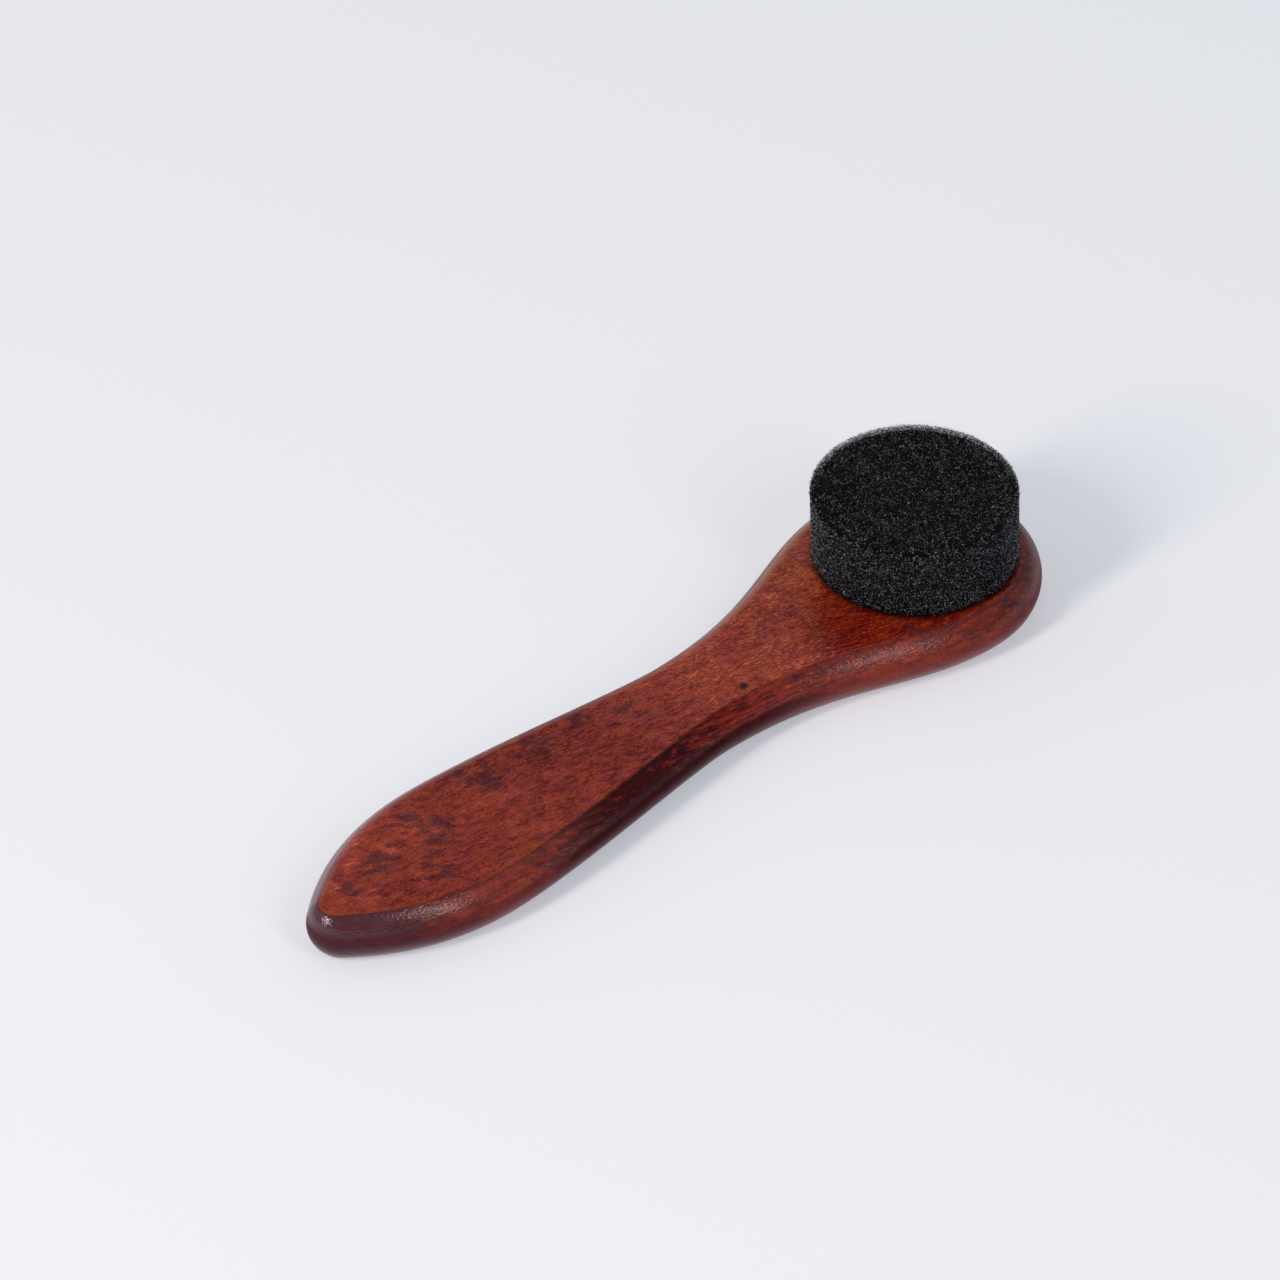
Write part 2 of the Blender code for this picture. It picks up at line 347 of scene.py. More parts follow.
def thin_stain(node, at):
    """How thin the stain lies, from 0 where the wood drank it dark to 1 where it dried pale."""
    fine_share = node("Math", (at.rough, 0.75, 0.66), operation="MULTIPLY_ADD")
    thin = add_patterns(node, 0.0, ((at.fine, fine_share), (at.fibre, 0.46), (at.speck, 0.54)))
    thin = node("Math", (thin, at.calm), operation="MULTIPLY")
    thin = add_patterns(node, thin, ((at.band, 0.28), (at.cloud, 0.46), (at.fleck, -0.62)))
    thin = node("Math", (thin, at.ground), operation="ADD")
    bare = in_patches(node, at.surface, BARE_PATCHES, 1.5, 0.3)
    broken = node("MapRange", (at.fleck, 0.58, 0.38), **SOFT)
    bare = node("Math", (bare, broken), operation="MULTIPLY")
    thin = node("Math", (bare, 0.16, thin), operation="MULTIPLY_ADD")

    # The rounded edge is darker by a level that changes along the handle, and painted shade darkens it low in
    # its hollow behind the palm; on its upper half long streaks take the fine fibres' place
    low = node("MapRange", (at.height, 8 * MM, 5 * MM), **SOFT)
    dark = node("Math", (at.hollow_dark, low, at.edge_dark), operation="MULTIPLY_ADD")
    strength = node("Math", (at.streaky, 1.6), operation="MULTIPLY")
    streaks = add_patterns(node, 0.0, ((at.streak, strength),))
    high = node("MapRange", (at.height, 3.5 * MM, 6.5 * MM), **SOFT)
    streaks = node("Math", (streaks, high), operation="MULTIPLY")
    change = node("Math", (streaks, dark), operation="SUBTRACT")
    thin = node("Math", (at.side, change, thin), operation="MULTIPLY_ADD")
    # Painted shade in front of the pad: the stain is drawn darker there
    return node("Math", (at.wiped, -0.14, thin), operation="MULTIPLY_ADD")


def stain_colour(node, at, thin):
    """The stain's colour: an orange red and a crimson one side by side, and plum low on the edge, partly
    painted reflection.
    """
    lean = node("Math", (at.crimson_lean, 0.5), operation="SUBTRACT")
    hue = node("Math", (at.hue, lean), operation="ADD")
    hue = node("MapRange", (hue, 0.42, 0.62), **SOFT)
    orange = node("ValToRGB", (thin,), stops=ORANGE_STAIN)
    crimson = node("ValToRGB", (thin,), stops=CRIMSON_STAIN)
    colour = node("Mix", {0: hue, 6: orange, 7: crimson}, **LAID_OVER)
    # Painted shade in front of the pad: the colour is tinted darker there
    colour = node("Mix", {0: at.wiped, 6: colour, 7: "#e4ae9c"}, **TINTED)

    # Painted reflection: the rounded edge's lower half and its nose take the plum colour, the stain's dark
    # red tinted as the lacquer's reflection of the pale table
    mottle = node("Math", (at.fleck, 0.4), operation="MULTIPLY")
    mottle = node("Math", (at.band, 0.6, mottle), operation="MULTIPLY_ADD")
    mottle = node("ValToRGB", (mottle,), stops=((0.3, 0.5), (0.7, 1.5)))
    plum = node("ValToRGB", (at.span,), stops=PLUM_STAIN_AND_REFLECTION)
    plum = node("Mix", {0: 1.0, 6: plum, 7: mottle}, **TINTED)
    low = node("MapRange", (at.height, 8 * MM, 3 * MM), **SOFT)
    low = node("Math", (low, 0.85), operation="MULTIPLY")
    plum_reflection = node("Math", (low, at.nose), operation="MAXIMUM")
    plum_reflection = node("Math", (plum_reflection, at.side), operation="MULTIPLY")
    return node("Mix", {0: plum_reflection, 6: colour, 7: plum}, **LAID_OVER)


def wear_over_stain(node, at):
    """What lies over the stain, lowest first, real marks and painted light and shade alike: how much of it
    each place has, and its colour.
    """
    # Blotches where the grain dips and drinks the stain: a few on the palm, and small ones strewn thinly
    dip = in_patches(node, at.surface, BLOTCHES, 1.6, 0.2)
    blotch = node("Math", (dip, 0.27, at.fleck), operation="MULTIPLY_ADD")
    blotch = add_patterns(node, blotch, ((at.fibre, 0.25),))
    blotch = node("MapRange", (blotch, 0.56, 0.84), **SOFT)
    strength = node("Math", (at.side, -0.46, 0.74), operation="MULTIPLY_ADD")
    blotch = node("Math", (blotch, strength), operation="MULTIPLY")

    # Short pale fibres torn up by the plane, most of them towards the head, that took no stain
    torn = node("MapRange", (at.torn, 0.61, 0.75), **SOFT)
    strength = node("Math", (at.rough, 0.34, 0.14), operation="MULTIPLY_ADD")
    torn = node("Math", (torn, strength), operation="MULTIPLY")
    torn = node("Math", (torn, at.calm), operation="MULTIPLY")

    # Arris: stain worn thin in patches on the face's side of the line, and all along it round the nose; drawn
    # on the near side only, it is also a painted highlight along the arris
    wear_and_highlight = node("Math", (at.edge, 0.5), operation="ADD")
    wear_and_highlight = node("ValToRGB", (wear_and_highlight,), stops=((0.08, 0.0), (0.38, 0.5), (0.56, 0.7), (0.72, 0.0)))
    patches = node("MapRange", (at.patch, 0.44, 0.70), **SOFT)
    on_nose = node("Math", (at.nose, 0.9), operation="MULTIPLY")
    patches = node("Math", (patches, on_nose), operation="MAXIMUM")
    wear_and_highlight = node("Math", (wear_and_highlight, patches), operation="MULTIPLY")
    wear_and_highlight = node("Math", (wear_and_highlight, at.near), operation="MULTIPLY")

    # Painted sheen: a pale band along the far side's shoulder stands in for the lacquer's grazing reflection
    pale = node("Math", (at.edge, 0.4, 0.5), operation="MULTIPLY_ADD")
    pale = node("ValToRGB", (pale,), easing="EASE", stops=((0.06, 0.0), (0.40, 0.40), (0.60, 0.58)))
    shoulder = node("MapRange", (at.edge, 1.9, 0.8), **SOFT)
    shoulder = node("Math", (shoulder, at.far), operation="MULTIPLY")
    pale = node("Math", (pale, shoulder), operation="MULTIPLY")
    sheen_colour = node("ValToRGB", (at.span,), stops=((0.0, "#a0747c"), (0.45, "#b07870"), (0.85, "#c88c72")))

    # Painted shade: a dark line just below the arris, on the near side only
    arris_shade = node("Math", (at.edge, 0.5), operation="MULTIPLY")
    arris_shade = node("ValToRGB", (arris_shade,), stops=((0.05, 0.0), (0.10, 0.9), (0.22, 0.6), (0.55, 0.0)))
    arris_shade = node("Math", (arris_shade, at.line_dark), operation="MULTIPLY")
    arris_shade = node("Math", (arris_shade, at.near), operation="MULTIPLY")

    # Painted shade: the wood darkens close round the pad's foot, where the pad shades it
    foot = node("VectorMath", (at.surface, (PAD_X, 0.0, THICKNESS)), output="Value", operation="DISTANCE")
    foot = node("MapRange", (foot, PAD_RADIUS + 1.6 * MM, PAD_RADIUS - 0.3 * MM), **SOFT)
    foot = node("Math", (foot, at.upper), operation="MULTIPLY")
    foot = node("Math", (foot, 0.75), operation="MULTIPLY")

    # Pin knot near the neck
    knot = node("Mapping", {
        "Vector": at.surface, "Location": KNOT, "Rotation": (0.0, 0.0, KNOT_TURN), "Scale": KNOT_SIZE,
    }, vector_type="TEXTURE")
    knot = node("VectorMath", (knot,), output="Value", operation="LENGTH")
    knot = node("MapRange", (knot, 1.25, 0.75), **SOFT)
    return (
        (blotch, "#4a1a26"), (torn, "#cf9566"), (wear_and_highlight, "#a4552a"), (pale, sheen_colour), (arris_shade, "#260507"),
        (foot, "#2a0303"), (knot, "#1c1916"),
    )


def lacquer(node, at, thin):
    """The clear lacquer's gloss and the wood's bumps, as inputs of the shader."""
    # Fibres are raised under it. On the flats it sank into the dark ones, and on the edge it dried in ridges.
    skin = node("Math", (at.pore, 0.9), operation="MULTIPLY")
    skin = node("Math", (at.ridge, 0.6, skin), operation="MULTIPLY_ADD")
    smooth = node("MapRange", (at.height, 7 * MM, 4 * MM), **SOFT)
    smooth = node("Math", (smooth, -0.6, 1.0), operation="MULTIPLY_ADD")
    skin = node("Math", (skin, smooth), operation="MULTIPLY")
    smooth = node("Math", (at.nose, -0.15, 1.0), operation="MULTIPLY_ADD")
    skin = node("Math", (skin, smooth), operation="MULTIPLY")
    fibres = node("Math", (at.fibre, 0.25), operation="MULTIPLY")
    fibres = node("Math", (at.flat, fibres), operation="MULTIPLY")
    raised = node("Math", (at.side, skin, fibres), operation="MULTIPLY_ADD")

    # It is glossy where the stain is thin and on the edge, and duller where it pooled and dried matt: low on
    # the edge and all over its hollow behind the palm
    on_flat = node("MapRange", (thin, 0.25, 0.52), **SOFT)
    on_flat = node("Math", (on_flat, 0.44), operation="MULTIPLY")
    on_edge = node("Math", (at.nose, 0.30, 0.76), operation="MULTIPLY_ADD")
    on_edge = node("Math", (at.side, on_edge), operation="MULTIPLY")
    gloss = node("Math", (on_flat, on_edge), operation="MAXIMUM")
    gloss = node("Math", (gloss, 0.8, 0.2), operation="MULTIPLY_ADD")
    low = node("MapRange", (at.height, 8.5 * MM, 5.8 * MM), **SOFT)
    low = node("Math", (low, at.low_dull), operation="MULTIPLY")
    hollow = node("Math", (at.edge_dull, at.side), operation="MULTIPLY")
    dull = node("Math", (low, hollow), operation="MAXIMUM")
    above_table = node("MapRange", (at.height, 1.2 * MM, 5.6 * MM), **SOFT)
    dull = node("Math", (dull, above_table), operation="MULTIPLY")
    kept = node("Math", (1.0, dull), operation="SUBTRACT")
    return {
        "Coat Weight": node("Math", (gloss, kept), operation="MULTIPLY"),
        "Coat Normal": node("Bump", {"Strength": 1.0, "Distance": 0.09 * MM, "Height": skin}),
        "Normal": node("Bump", {"Strength": 1.0, "Distance": 0.11 * MM, "Height": raised}),
    }


def make_wood():
    """Close-grained hardwood, red-brown water stain laid on with a cloth, one thin brushed coat of clear
    lacquer.

    The stain goes dark and blotchy where the grain dips and drinks it, thin and orange where sanding cut
    the arris, and the lacquer is a satin gloss that the raised fibres break into streaks. Some light and
    shade
    is painted into the colour: shade in front of and round the pad, below the arris and low in the hollow
    behind the palm, a highlight along the arris, a sheen on the far shoulder and a plum reflection low on the
    edge.
    """
    material, node = new_material("stained_lacquered_hardwood")
    at = read_wood(node)
    thin = thin_stain(node, at)
    colour = stain_colour(node, at, thin)
    for amount, tint in wear_over_stain(node, at):
        colour = node("Mix", {0: amount, 6: colour, 7: tint}, **LAID_OVER)
    shader = node("BsdfPrincipled", {
        "Base Color": colour, "Roughness": 0.6, "IOR": 1.5, "Specular IOR Level": 0.0,
        "Coat Roughness": 0.22, "Coat IOR": 1.7, **lacquer(node, at, thin),
    })
    node("OutputMaterial", {"Surface": shader})
    return material


def make_foam():
    """Black polyurethane foam, open-cell, cut from sheet: matt struts, dark hollows, and small glints painted
    as pale tones.
    """
    material, node = new_material("black_open_cell_foam")
    tone = node("Attribute", output="Fac", attribute_name="tone")
    # The palest tones are painted glints: pale struts and cut ends stand in for light caught on shiny struts
    colour = node("ValToRGB", (tone,), stops=(
        (0.0, "#010102"), (0.2, "#14151a"), (0.5, "#43454c"), (1.0, "#d2d5dc"),
    ))
    shader = node("BsdfPrincipled", {
        "Base Color": colour, "Roughness": 0.55, "IOR": 1.5, "Specular IOR Level": 0.1,
    })
    node("OutputMaterial", {"Surface": shader})
    return material


def make_foam_depth():
    """The same foam deeper in: what shows between the outer struts is nearly black, with faint fine cells."""
    material, node = new_material("black_open_cell_foam_depth")
    place = node("TexCoord", output="Object")
    place = node("Mapping", {"Vector": place, "Scale": (0.1 * MM, 0.1 * MM, 0.1 * MM)}, vector_type="TEXTURE")
    walls = node("TexVoronoi", {"Vector": place, "Scale": 1.0}, output="Distance", feature="DISTANCE_TO_EDGE")
    colour = node("ValToRGB", (walls,), stops=((0.0, "#121316"), (0.16, "#070708")))
    bump = node("Bump", {"Strength": 0.6, "Distance": 0.2 * MM, "Height": walls}, invert=True)
    shader = node("BsdfPrincipled", {
        "Base Color": colour, "Roughness": 0.9, "IOR": 1.5, "Specular IOR Level": 0.1, "Normal": bump,
    })
    node("OutputMaterial", {"Surface": shader})
    return material


def make_glue():
    """Contact glue, brushed on and dried: dark amber, rubbery and slightly uneven."""
    material, node = new_material("dried_contact_glue")
    place = node("TexCoord", output="Object")
    place = node("Mapping", {"Vector": place, "Scale": (2 * MM, 2 * MM, 2 * MM)}, vector_type="TEXTURE")
    uneven = node("TexNoise", {"Vector": place, "Scale": 1.0, "Detail": 3.0})
    colour = node("ValToRGB", (uneven,), stops=((0.3, "#2b1d0e"), (0.7, "#4a3418")))
    bump = node("Bump", {"Strength": 0.5, "Distance": 0.1 * MM, "Height": uneven})
    shader = node("BsdfPrincipled", {"Base Color": colour, "Roughness": 0.35, "IOR": 1.5, "Normal": bump})
    node("OutputMaterial", {"Surface": shader})
    return material


def finish_piece(piece, name, material):
    """Name the piece, put its place into its mesh and give it its material."""
    piece.name = name
    piece.data.name = name
    bpy.ops.object.select_all(action="DESELECT")
    piece.select_set(True)
    bpy.context.view_layer.objects.active = piece
    bpy.ops.object.transform_apply(location=True, rotation=True, scale=True)
    piece.data.materials.clear()
    piece.data.materials.append(material)
    return piece


def place_curve_point(point, where, tangent, before, after):
    """Put a Bezier point at a place, with handles of two lengths along one tangent."""
    point.handle_left_type = "FREE"
    point.handle_right_type = "FREE"
    point.co = where
    point.handle_left = where - tangent * before
    point.handle_right = where + tangent * after


def tree_of(places):
    """A search tree over some places."""
    tree = KDTree(len(places))
    for i, place in enumerate(places):
        tree.insert(place, i)
    tree.balance()
    return tree


def side_points(side):
    """The outline's points on one side, nose to head: place, tangent and its two handles' lengths."""
    head = Vector((HEAD_X, side * HEAD_RADIUS, 0.0))
    neck = Vector((HEAD_X - NECK_FROM_HEAD, side * NECK_WIDTH / 2, 0.0))
    palm = Vector((HANDLE_LOW.x + PALM_FROM_NOSE, side * PALM_WIDTH / 2, 0.0))
    turn = NOSE_HALF_ANGLE
    cheek_x = HANDLE_LOW.x + NOSE_RADIUS * (1 - math.cos(turn))
    cheek = Vector((cheek_x, side * NOSE_RADIUS * math.sin(turn), 0.0))
    cheek_way = Vector((math.sin(turn), side * math.cos(turn), 0.0))
    forwards = Vector((1.0, 0.0, 0.0))
    nose_arm = 4 / 3 * math.tan(turn / 4) * NOSE_RADIUS
    head_arm = 4 / 3 * math.tan(math.pi / 8) * HEAD_RADIUS
    to_palm = (palm - cheek).length
    to_neck = (neck - palm).length
    to_head = (head - neck).length
    return [
        (cheek, cheek_way, nose_arm, to_palm * PALM_TO_NOSE_PULL[1]),
        (palm, forwards, to_palm * PALM_TO_NOSE_PULL[0], to_neck * NECK_TO_PALM_PULL[1]),
        (neck, forwards, to_neck * NECK_TO_PALM_PULL[0], to_head * HEAD_TO_NECK_PULL[1]),
        (head, forwards, to_head * HEAD_TO_NECK_PULL[0], head_arm),
    ]


def draw_outline():
    """The handle's outline at the middle of the board: the head's circle drawn out to neck, palm and nose."""
    bpy.ops.object.select_all(action="DESELECT")
    bpy.ops.curve.primitive_bezier_circle_add(radius=HEAD_RADIUS, location=(0.0, 0.0, THICKNESS / 2))
    curve = bpy.context.object
    bpy.ops.object.mode_set(mode="EDIT")
    for point in curve.data.splines[0].bezier_points:
        chosen = point.co.x < HEAD_RADIUS / 2
        point.select_control_point = chosen
        point.select_left_handle = chosen
        point.select_right_handle = chosen
    bpy.ops.curve.subdivide(number_cuts=3)
    bpy.ops.object.mode_set(mode="OBJECT")

    left = side_points(1.0)
    right = [(where, -way, after, before) for where, way, before, after in reversed(side_points(-1.0))]
    nose_arm = left[0][2]
    head_arm = left[-1][3]
    across = Vector((0.0, 1.0, 0.0))
    nose = (Vector((HANDLE_LOW.x, 0.0, 0.0)), across, nose_arm, nose_arm)
    front = (Vector((HANDLE_HIGH.x, 0.0, 0.0)), -across, head_arm, head_arm)
    points = curve.data.splines[0].bezier_points
    for point, (where, way, before, after) in zip(points, [nose] + left + [front] + right):
        place_curve_point(point, where, way, before, after)
    curve.data.resolution_u = OUTLINE_FINENESS
    return curve


def pick_edges(piece, wanted):
    """In edit mode, select only the edges of which both ends' places pass a test."""
    bpy.ops.mesh.select_mode(type="EDGE")
    bpy.ops.mesh.select_all(action="DESELECT")
    bpy.ops.object.mode_set(mode="OBJECT")
    verts = piece.data.vertices
    for edge in piece.data.edges:
        edge.select = all(wanted(verts[i].co) for i in edge.vertices)
    bpy.ops.object.mode_set(mode="EDIT")


def model_handle(material):
    """The board: its outline filled, raised ring by ring to the rounded edge, mirrored, its arris eased."""
    draw_outline()
    bpy.ops.object.convert(target="MESH")
    board = bpy.context.object
    bpy.ops.object.transform_apply(location=True, rotation=False, scale=False)
    bpy.ops.object.mode_set(mode="EDIT")
    bpy.ops.mesh.select_mode(type="VERT")
    bpy.ops.mesh.select_all(action="SELECT")
    bpy.ops.mesh.remove_doubles(threshold=HAIR)
    bpy.ops.mesh.edge_face_add()
    bpy.ops.mesh.select_mode(type="FACE")
    bpy.ops.mesh.select_all(action="SELECT")
    bpy.ops.mesh.normals_make_consistent(inside=False)
    crown = sum(rise for width, rise in FACE_RINGS)
    half = THICKNESS / 2 - crown
    radius = (EDGE_INSET**2 + half**2) / (2 * EDGE_INSET)
    reach = math.asin(half / radius)
    turns = [reach * i / EDGE_STEPS for i in range(EDGE_STEPS + 1)]
    rings = [(radius * (1 - math.cos(t)), radius * math.sin(t)) for t in turns]
    for (inner, lower), (outer, upper) in zip(rings, rings[1:]):
        bpy.ops.mesh.inset(thickness=outer - inner, depth=upper - lower, use_even_offset=True)
    bpy.ops.object.mode_set(mode="OBJECT")
    arris_height = max(v.co.z for v in board.data.vertices)
    bpy.ops.object.mode_set(mode="EDIT")
    for width, rise in FACE_RINGS:
        bpy.ops.mesh.inset(thickness=width, depth=rise, use_even_offset=True)

    # The lower half is the upper one mirrored
    bpy.ops.mesh.select_all(action="SELECT")
    bpy.ops.mesh.duplicate()
    bpy.ops.transform.mirror(orient_type="GLOBAL", constraint_axis=(False, False, True),
                             center_override=(0.0, 0.0, THICKNESS / 2))
    bpy.ops.mesh.select_all(action="SELECT")
    bpy.ops.mesh.remove_doubles(threshold=HAIR)
    bpy.ops.mesh.normals_make_consistent(inside=False)

    draw_out_nose(board, arris_height)

    # Sandpaper has eased the arris
    low = THICKNESS - arris_height
    pick_edges(board, lambda co: min(abs(co.z - arris_height), abs(co.z - low)) < HAIR)
    bpy.ops.object.mode_set(mode="OBJECT")
    chosen = [edge for edge in board.data.edges if edge.select]
    arris = [board.data.vertices[i].co.copy() for edge in chosen for i in edge.vertices]
    bpy.ops.object.mode_set(mode="EDIT")
    bpy.ops.mesh.bevel(offset=ARRIS, offset_type="OFFSET", segments=ARRIS_STEPS, affect="EDGES")
    bpy.ops.object.mode_set(mode="OBJECT")
    bpy.ops.object.shade_smooth()
    measure_from_arris(board, arris, arris_height)
    return finish_piece(board, "lacquered_handle", material)


def draw_out_nose(board, arris_height):
    """Stretch the upper flat's end nearer to the outline at the nose, with the rings below following."""
    bpy.ops.mesh.select_mode(type="VERT")
    bpy.ops.mesh.select_all(action="DESELECT")
    bpy.ops.object.mode_set(mode="OBJECT")
    for vert in board.data.vertices:
        vert.select = vert.co.z > arris_height - HAIR and vert.co.x < NOSE_PIVOT
    bpy.ops.object.mode_set(mode="EDIT")
    reach = NOSE_PIVOT - HANDLE_LOW.x - EDGE_INSET
    bpy.ops.transform.resize(
        value=(1 + NOSE_STRETCH / reach, 1.0, 1.0),
        center_override=(NOSE_PIVOT, 0.0, arris_height),
        use_proportional_edit=True,
        proportional_edit_falloff="SMOOTH",
        proportional_size=NOSE_FOLLOW,
    )


def measure_from_arris(board, arris, height):
    """Keep on each point its distance from the nearest arris, in millimetres.

    It is positive on the rounded edge and negative on the flats.
    """
    tree = tree_of(arris)
    middle = THICKNESS / 2
    values = []
    for vert in board.data.vertices:
        distance = tree.find(vert.co)[2] / MM
        values.append(distance if abs(vert.co.z - middle) < height - middle else -distance)
    attribute = board.data.attributes.new("from_arris", "FLOAT", "POINT")
    attribute.data.foreach_set("value", values)


def pad_profile(depth, least_rim=LEAST_RIM):
    """The foam's outline in section at a depth under its skin, top centre to base: radius and height."""
    full = PAD_RADIUS + PAD_SIDE
    centre = Vector((full - PAD_RIM, PAD_HIGH.z - PAD_RIM))
    rim = max(PAD_RIM - depth, least_rim)
    shift = PAD_RIM - depth - rim
    profile = [Vector((0.0, PAD_HIGH.z - depth))]
    for i in range(PAD_RIM_STEPS + 1):
        turn = math.pi / 2 * (1 - i / PAD_RIM_STEPS)
        profile.append(centre + Vector((shift, shift)) + rim * Vector((math.cos(turn), math.sin(turn))))
    outside_glue = full - depth > FILM_RADIUS + STRUT
    profile.append(Vector((full - depth, THICKNESS + OFF_WOOD if outside_glue else PAD_BASE)))
    return profile


def leaned(x, y, z):
    """Where a place of the upright pad comes to be once the pad leans."""
    rise = (z - PAD_BASE) / (PAD_HIGH.z - PAD_BASE)
    return PAD_X + x + PAD_SHIFT[0] + PAD_LEAN[0] * rise, y + PAD_SHIFT[1] + PAD_LEAN[1] * rise, z


def walk(profile, spacing):
    """Points at an even spacing along a section, as arrays of distance along it, radius and height."""
    corners = np.array([tuple(p) for p in profile])
    steps = np.linalg.norm(np.diff(corners, axis=0), axis=1)
    along = np.concatenate([[0.0], np.cumsum(steps)])
    fine = np.linspace(0.0, along[-1], int(along[-1] / spacing) * 8 + 1)
    radius = np.interp(fine, along, corners[:, 0])
    height = np.interp(fine, along, corners[:, 1])
    return fine, radius, height


def cell_layer(depth, cell, rng):
    """One layer of foam cells under the skin: the places where struts meet, and the pairs that struts join.

    Cell centres are strewn evenly over the surface. They are unrolled onto a plane, which keeps angles, and
    the plane is divided into triangles between them. Each triangle's centre is a meeting place, and each
    shared side a strut.
    """
    fine, radius, height = walk(pad_profile(depth), cell)
    middles = np.maximum((radius[1:] + radius[:-1]) / 2, cell / 4)
    unrolled = np.concatenate([[0.0], np.cumsum(np.diff(fine) / middles)])
    turns = []
    places = []
    row = cell * ROW_PITCH
    for k in range(1, int(fine[-1] / row) + 1):
        at = k * row
        count = max(int(round(2 * math.pi * np.interp(at, fine, radius) / cell)), 3)
        offset = rng.uniform(0.0, 1.0)
        strayed = np.arange(count) + offset + rng.uniform(-CELL_JITTER, CELL_JITTER, count)
        angles = strayed * 2 * math.pi / count
        alongs = at + rng.uniform(-CELL_JITTER, CELL_JITTER, count) * row
        turns.append(angles)
        places.append(np.clip(alongs, 0.0, fine[-1]))
    turns = np.concatenate(turns)
    places = np.concatenate(places)
    scale = np.exp(np.interp(places, fine, unrolled) - unrolled[-1])
    flat = [Vector((s * math.cos(t), s * math.sin(t))) for s, t in zip(scale, turns)]
    triangles = np.array(delaunay_2d_cdt(flat, [], [], 0, 1e-9)[2], dtype=np.int64)
    points = np.array([tuple(p) for p in flat])
    sides = np.concatenate([triangles[:, [0, 1]], triangles[:, [1, 2]], triangles[:, [2, 0]]])
    owner = np.tile(np.arange(len(triangles)), 3)
    keys = np.sort(sides, axis=1)
    order = np.lexsort((keys[:, 1], keys[:, 0]))
    keys, owner = keys[order], owner[order]
    shared = np.nonzero((keys[1:] == keys[:-1]).all(axis=1))[0]
    pairs = np.stack([owner[shared], owner[shared + 1]], axis=1)

    centres = points[triangles].mean(axis=1)
    size = np.maximum(np.linalg.norm(centres, axis=1), scale.min())
    along = np.interp(np.log(size) + unrolled[-1], unrolled, fine)
    turn = np.arctan2(centres[:, 1], centres[:, 0])
    slope_r = np.gradient(radius, fine)
    slope_z = np.gradient(height, fine)
    normal_r = -np.interp(along, fine, slope_z)
    normal_z = np.interp(along, fine, slope_r)
    sink = rng.uniform(-DEPTH_JITTER, DEPTH_JITTER, len(along))
    r = np.interp(along, fine, radius) - sink * normal_r
    z = np.interp(along, fine, height) - sink * normal_z
    nodes = np.stack(leaned(r * np.cos(turn), r * np.sin(turn), np.maximum(z, height.min())), axis=1)
    outward = np.stack([normal_r * np.cos(turn), normal_r * np.sin(turn), normal_z], axis=1)
    return nodes, outward, pairs


def strut_mesh(name, starts, ends, thickness, tones):
    """Closed three-sided prisms between pairs of places, all in one mesh, each with a tone of its own."""
    along = ends - starts
    lengths = np.linalg.norm(along, axis=1)
    keep = lengths > STRUT
    starts, ends, along, lengths = starts[keep], ends[keep], along[keep], lengths[keep]
    thickness, tones = thickness[keep], tones[keep]
    along /= lengths[:, None]
    helper = np.where(np.abs(along[:, 2:3]) < 0.8, np.array([[0.0, 0.0, 1.0]]), np.array([[1.0, 0.0, 0.0]]))
    first = np.cross(along, helper)
    first /= np.linalg.norm(first, axis=1)[:, None]
    second = np.cross(along, first)
    count = len(starts)
    verts = np.empty((count, 6, 3))
    lap = along * thickness[:, None] * STRUT_LAP
    for i in range(3):
        turn = 2 * math.pi * i / 3
        around = (first * math.cos(turn) + second * math.sin(turn)) * thickness[:, None]
        verts[:, i] = starts - lap + around
        verts[:, i + 3] = ends + lap + around
    # Three sides of four corners and two ends of three
    pattern = np.array([0, 1, 4, 3, 1, 2, 5, 4, 2, 0, 3, 5, 2, 1, 0, 3, 4, 5])
    loops = (np.arange(count)[:, None] * 6 + pattern[None, :]).ravel()
    begins = (np.arange(count)[:, None] * 18 + np.array([0, 4, 8, 12, 15])[None, :]).ravel()
    mesh = bpy.data.meshes.new(name)
    mesh.vertices.add(count * 6)
    mesh.vertices.foreach_set("co", verts.ravel())
    mesh.loops.add(len(loops))
    mesh.loops.foreach_set("vertex_index", loops)
    mesh.polygons.add(len(begins))
    mesh.polygons.foreach_set("loop_start", begins)
    mesh.update(calc_edges=True)
    attribute = mesh.attributes.new("tone", "FLOAT", "POINT")
    attribute.data.foreach_set("value", np.repeat(tones, 6))
    return mesh


def link_piece(name, mesh, material):
    """A new piece in the scene from a mesh and its material."""
    mesh.materials.append(material)
    piece = bpy.data.objects.new(name, mesh)
    bpy.context.scene.collection.objects.link(piece)
    return piece


def nearness(places, depth):
    """How near places are to the pad's cut side and to its top: 0 at a depth, 1 from a quarter of it out."""
    reach = np.hypot(places[:, 0] - PAD_X, places[:, 1])
    side = np.clip((reach - PAD_RADIUS + depth) / (0.75 * depth), 0.0, 1.0)
    top = np.clip((places[:, 2] - PAD_HIGH.z + depth) / (0.75 * depth), 0.0, 1.0)
    return side, top


